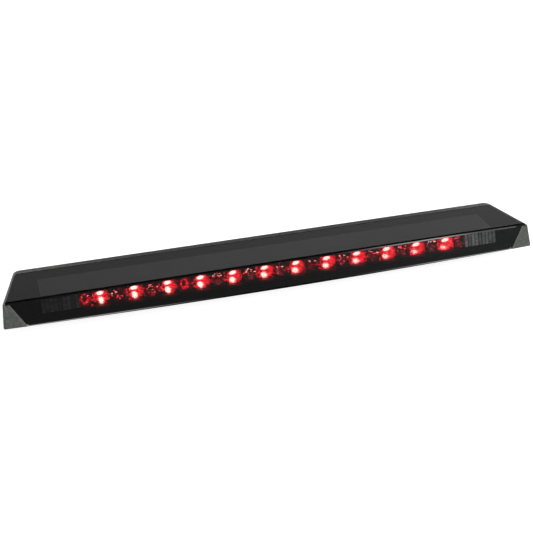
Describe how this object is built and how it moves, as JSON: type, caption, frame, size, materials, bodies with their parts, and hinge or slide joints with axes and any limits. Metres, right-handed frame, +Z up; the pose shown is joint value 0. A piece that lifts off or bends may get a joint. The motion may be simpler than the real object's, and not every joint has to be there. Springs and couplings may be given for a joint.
{
  "type": "third brake light",
  "caption": "Long slim high-mounted stop lamp: smoked raked lens over a row of red emitters in a shallow grey housing, with studs, foam gasket and a short plugged lead.",
  "frame": {"origin": "centre of the mounting studs, on the plane of the stud pads", "axes": "+X along the lamp, -Y out of the lit face, +Z up from the mounting plane through the lens top"},
  "size_m": [0.6488, 0.1197, 0.0466],
  "materials": {
    "smoked_lens": "gloss smoked acrylic",
    "housing_plastic": "fine spark-eroded grain",
    "black_sealant": "satin",
    "dark_panel": "fine satin",
    "black_plastic": "fine grain",
    "black_steel": "satin black",
    "metallised": "vacuum metallised",
    "clear_plastic": "clear acrylic",
    "circuit_board": "solder mask",
    "red_lamp": "clear epoxy over a red die",
    "chip_ceramic": "matt",
    "chip_moulding": "matt",
    "connector_nylon": "satin",
    "plated_steel": "zinc plated",
    "foam": "closed-cell foam",
    "soft_rubber": "satin",
    "white_membrane": "matt",
    "feed_insulation": "satin vinyl",
    "ground_insulation": "satin vinyl",
    "woven_sleeve": "woven",
    "connector_plastic": "satin",
    "tinned_brass": "tinned",
    "seal_rubber": "satin silicone",
    "lock_plastic": "satin"
  },
  "bodies": {
    "lamp": {"outer_lens": "smoked_lens", "housing": "housing_plastic", "lens_seal": "black_sealant", "top_panel": "dark_panel", "bezel": "black_plastic", "bezel_screws": "black_steel", "reflector_strip": "metallised", "optic_strip": "clear_plastic", "side_prism_left": "clear_plastic", "side_prism_right": "clear_plastic", "led_board": "circuit_board", "leds": "red_lamp", "resistors": "chip_ceramic", "input_diode": "chip_moulding", "surge_suppressor": "chip_moulding", "current_driver": "chip_moulding", "board_header": "connector_nylon", "board_screws": "plated_steel", "mounting_studs": "plated_steel", "base_gasket": "foam", "grommet": "soft_rubber", "vent_cap": "black_plastic", "vent_membrane": "white_membrane", "board_plug": "connector_nylon", "wire_feed": "feed_insulation", "wire_ground": "ground_insulation", "wire_sleeve": "woven_sleeve", "connector_body": "connector_plastic", "connector_terminals": "tinned_brass", "connector_seal": "seal_rubber"},
    "latch": {"connector_latch": "connector_plastic"},
    "lock": {"connector_lock": "lock_plastic"}
  },
  "joints": [
    {"name": "latch_press", "type": "hinge", "parent": "lamp", "child": "latch", "pos_m": [0.2059, 0.062, -0.0015], "axis": [0, 1, 0], "range_deg": [0, 4.5]},
    {"name": "lock_slide", "type": "slide", "parent": "lamp", "child": "lock", "axis": [1, 0, 0], "range_m": [0, 0.003]}
  ]
}
